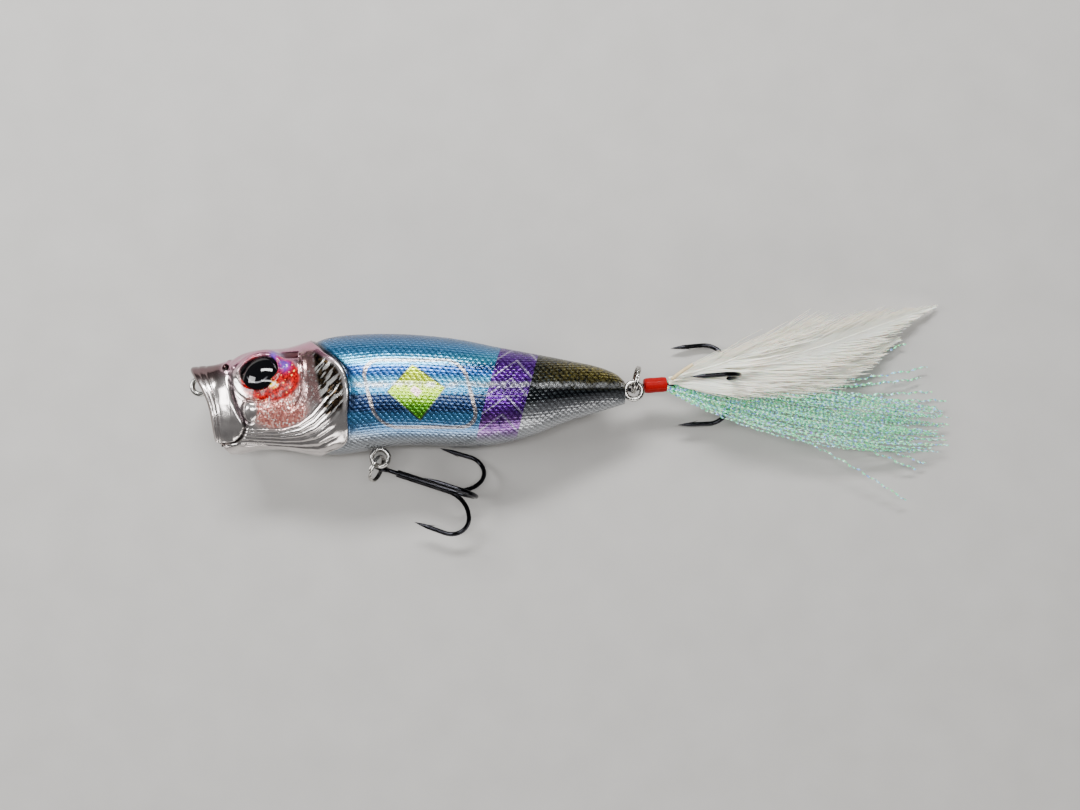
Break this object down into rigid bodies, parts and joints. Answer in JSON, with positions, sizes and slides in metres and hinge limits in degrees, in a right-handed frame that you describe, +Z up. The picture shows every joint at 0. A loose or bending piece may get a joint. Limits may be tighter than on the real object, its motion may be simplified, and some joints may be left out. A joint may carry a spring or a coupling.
{
  "type": "topwater popper fishing lure",
  "caption": "Hollow two-half popper lure with a cupped mouth, wire hangers, treble hooks on split rings and a feather and tinsel tail.",
  "frame": {"origin": "centre of the whole lure's bounding box in X and Y, on the surface it lies on", "axes": "+X from mouth to tail, +Y from belly to back, +Z up, out of the left flank, with the lure lying on its right flank"},
  "size_m": [0.1394, 0.0427, 0.0176],
  "materials": {
    "body_foil_blue": "clear coat over metallic scale foil",
    "body_foil_blue_right": "clear coat over metallic scale foil",
    "eye_lens": "gloss dome",
    "eye_foil": "glitter foil",
    "bright_wire": "drawn stainless wire",
    "split_ring_steel": "nickel plated",
    "black_nickel": "black nickel",
    "red_thread": "lacquered thread",
    "white_feather": "feather barbs",
    "pearl_tinsel": "pearl tinsel",
    "lead_weight": "dull cast",
    "rattle_steel": "polished ball"
  },
  "bodies": {
    "lure_body": {"body_left": "body_foil_blue", "body_right": "body_foil_blue_right", "left_eye_lens": "eye_lens", "right_eye_lens": "eye_lens", "left_eye_foil": "eye_foil", "right_eye_foil": "eye_foil", "line_tie": "bright_wire", "belly_hanger": "bright_wire", "tail_hanger": "bright_wire", "tail_weight": "lead_weight", "keel_weight": "lead_weight"},
    "belly_ring": {"belly_split_ring": "split_ring_steel"},
    "belly_hook": {"belly_treble": "black_nickel"},
    "tail_ring": {"tail_split_ring": "split_ring_steel"},
    "tail_hook": {"tail_treble": "black_nickel", "tail_whipping": "red_thread", "hackle_main": "white_feather", "hackle_upper": "white_feather", "hackle_lower": "white_feather", "tinsel_flash": "pearl_tinsel"},
    "rattle": {"rattle_ball": "rattle_steel"}
  },
  "joints": [
    {"name": "belly_ring_swing", "type": "hinge", "parent": "lure_body", "child": "belly_ring", "pos_m": [-0.03557, -0.007, 0.00882], "axis": [0, 0, 1], "range_deg": [-70, 6]},
    {"name": "belly_hook_swing", "type": "hinge", "parent": "belly_ring", "child": "belly_hook", "pos_m": [-0.03573, -0.00905, 0.00652], "axis": [0.3123, 0.95, 0], "range_deg": [-12, 60]},
    {"name": "tail_ring_swing", "type": "hinge", "parent": "lure_body", "child": "tail_ring", "pos_m": [0.00977, 0.005, 0.00882], "axis": [0, 0, 1], "range_deg": [-80, 12]},
    {"name": "tail_hook_swing", "type": "hinge", "parent": "tail_ring", "child": "tail_hook", "pos_m": [0.00994, 0.00581, 0.00679], "axis": [-0.0919, 0.8573, -0.5065], "range_deg": [-22, 45]},
    {"name": "rattle_roll", "type": "slide", "parent": "lure_body", "child": "rattle", "axis": [1, 0, 0], "range_m": [0, 0.0175]}
  ]
}
